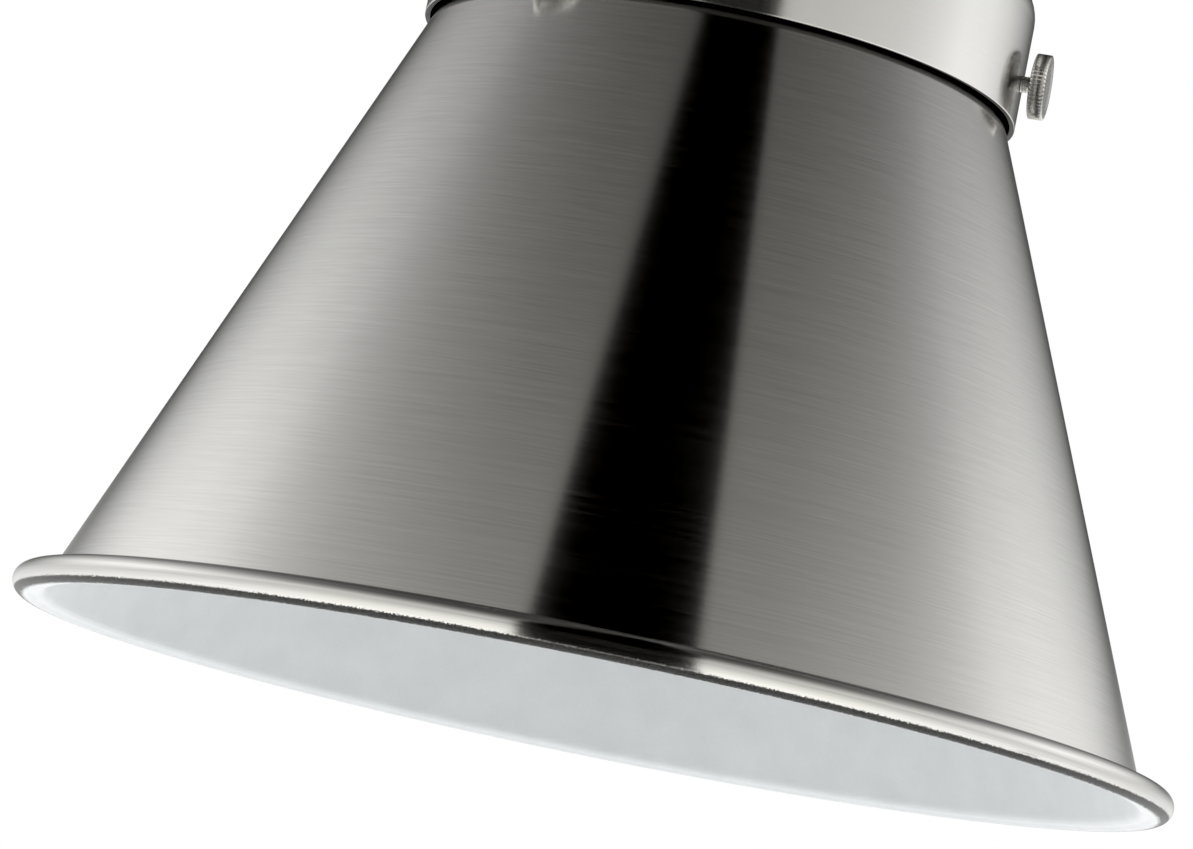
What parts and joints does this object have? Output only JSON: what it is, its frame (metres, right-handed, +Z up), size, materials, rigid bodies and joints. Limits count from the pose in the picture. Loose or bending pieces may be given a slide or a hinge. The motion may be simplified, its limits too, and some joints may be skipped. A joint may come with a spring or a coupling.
{
  "type": "pharmacy floor lamp",
  "caption": "Pharmacy floor lamp: brushed nickel cone shade in a thumbscrew holder, on a tilting, swivelling arm and a telescoping pole with a weighted round base.",
  "frame": {"origin": "the pole's axis at floor level, under the base pad", "axes": "+Z up along the pole, -X towards the lamp head at rest, the tilt axis along Y"},
  "size_m": [0.5703, 0.254, 1.3903],
  "materials": {
    "nickel": "brushed satin nickel plate",
    "shade_nickel": "nickel brushed round the cone, painted white inside",
    "iron": "raw casting",
    "pad": "matt foam rubber",
    "brass": "plain brass",
    "zinc": "zinc plated steel",
    "black_plastic": "moulded",
    "nylon": "natural nylon",
    "diffuser": "frosted white",
    "bulb_white": "white housing",
    "cap_metal": "pressed screw cap",
    "black_steel": "blackened steel"
  },
  "bodies": {
    "base": {"base_pad": "pad", "base_weight": "iron", "base_cover": "nickel", "base_nipple": "brass", "base_nut": "zinc", "base_washer": "zinc", "cord_bushing": "black_plastic", "pole_ferrule": "nickel", "outer_pole": "nickel", "lock_collar": "nickel", "lock_bushing": "black_plastic"},
    "pole_lock": {"lock_screw": "nickel"},
    "stem": {"inner_pole": "nickel", "pole_glide": "black_plastic", "pole_spigot": "nickel", "hub_washer": "nylon", "hub_cap": "nickel"},
    "arm": {"swivel_hub": "nickel", "hub_setscrew": "black_steel", "arm_tube": "nickel", "arm_ferrule": "nickel"},
    "knuckle": {"head_fork": "nickel", "swivel_clip": "black_steel", "pivot_screw": "nickel", "pivot_nut": "nickel", "pivot_washers": "zinc"},
    "head": {"head_tongue": "nickel", "head_nipple": "brass", "head_nut": "brass", "husk": "nickel", "flange_screws": "zinc", "collar": "nickel", "shade": "shade_nickel", "socket_body": "black_plastic", "screw_shell": "brass", "centre_contact": "brass", "bulb_globe": "diffuser", "bulb_housing": "bulb_white", "bulb_cap": "cap_metal", "bulb_contact": "black_plastic"},
    "switch": {"switch_knob": "nickel"},
    "screw_a": {"shade_screw_a": "nickel"},
    "screw_b": {"shade_screw_b": "nickel"},
    "screw_c": {"shade_screw_c": "nickel"}
  },
  "joints": [
    {"name": "pole_height", "type": "slide", "parent": "base", "child": "stem", "axis": [0, 0, 1], "range_m": [-0.22, 0.08]},
    {"name": "arm_swing", "type": "hinge", "parent": "stem", "child": "arm", "pos_m": [0, 0, 1.37], "axis": [0, 0, 1], "range_deg": [-170, 170]},
    {"name": "head_swivel", "type": "hinge", "parent": "arm", "child": "knuckle", "pos_m": [-0.3, 0, 1.272], "axis": [0, 0, 1], "range_deg": [-165, 165]},
    {"name": "head_tilt", "type": "hinge", "parent": "knuckle", "child": "head", "pos_m": [-0.3, 0, 1.25], "axis": [0, 1, 0], "range_deg": [-75, 75]},
    {"name": "switch_turn", "type": "hinge", "parent": "head", "child": "switch", "pos_m": [-0.32931, 0, 1.21048], "axis": [-0.9806, 0, 0.1959], "range_deg": [0, 330]},
    {"name": "pole_lock_turn", "type": "hinge", "parent": "base", "child": "pole_lock", "pos_m": [0.016, 0, 0.772], "axis": [1, 0, 0], "continuous": true},
    {"name": "shade_screw_a_turn", "type": "hinge", "parent": "head", "child": "screw_a", "pos_m": [-0.26726, -0.01009, 1.14882], "axis": [0.9626, -0.1908, -0.1923], "continuous": true},
    {"name": "shade_screw_b_turn", "type": "hinge", "parent": "head", "child": "screw_b", "pos_m": [-0.33507, 0.05002, 1.16237], "axis": [-0.3193, 0.9455, 0.0638], "continuous": true},
    {"name": "shade_screw_c_turn", "type": "hinge", "parent": "head", "child": "screw_c", "pos_m": [-0.35222, -0.03992, 1.1658], "axis": [-0.6433, -0.7547, 0.1286], "continuous": true}
  ]
}
